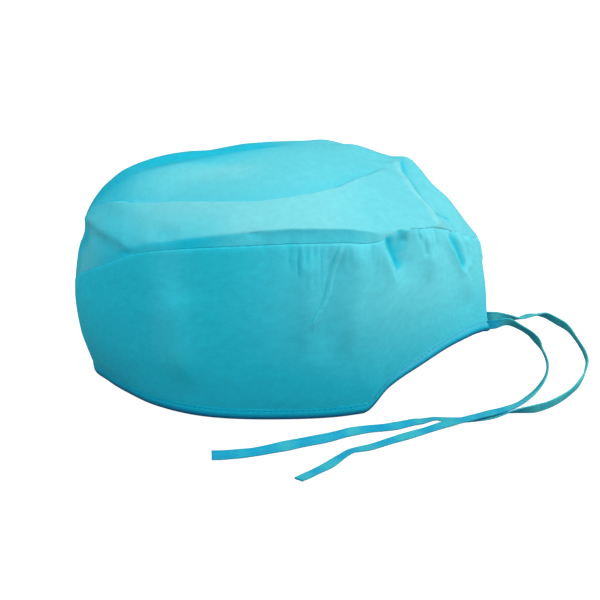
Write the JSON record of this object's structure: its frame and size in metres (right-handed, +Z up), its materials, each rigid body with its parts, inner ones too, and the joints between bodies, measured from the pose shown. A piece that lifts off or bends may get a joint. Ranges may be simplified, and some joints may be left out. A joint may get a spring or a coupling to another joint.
{
  "type": "disposable surgical cap",
  "caption": "Tie-on surgeon's cap of thin turquoise non-woven cloth: tall side band, puffed crown, bound lower edge raised at the nape, and two free ties.",
  "frame": {"origin": "centre of the bottom of the cap's box, without its ties, on the surface it stands on", "axes": "-X to the forehead side, +X to the nape and its ties, -Y to the wearer's left, +Z up"},
  "size_m": [0.3136, 0.2271, 0.138],
  "materials": {
    "crown_cloth": "matt spunbond non-woven, turquoise",
    "band_cloth": "matt spunbond non-woven, turquoise",
    "binding_tape": "folded non-woven tape, turquoise",
    "tie_tape": "folded non-woven tape, turquoise"
  },
  "bodies": {
    "root": {"crown": "crown_cloth", "side_band": "band_cloth", "edge_binding": "binding_tape", "tie_left": "tie_tape", "tie_right": "tie_tape"}
  },
  "joints": []
}
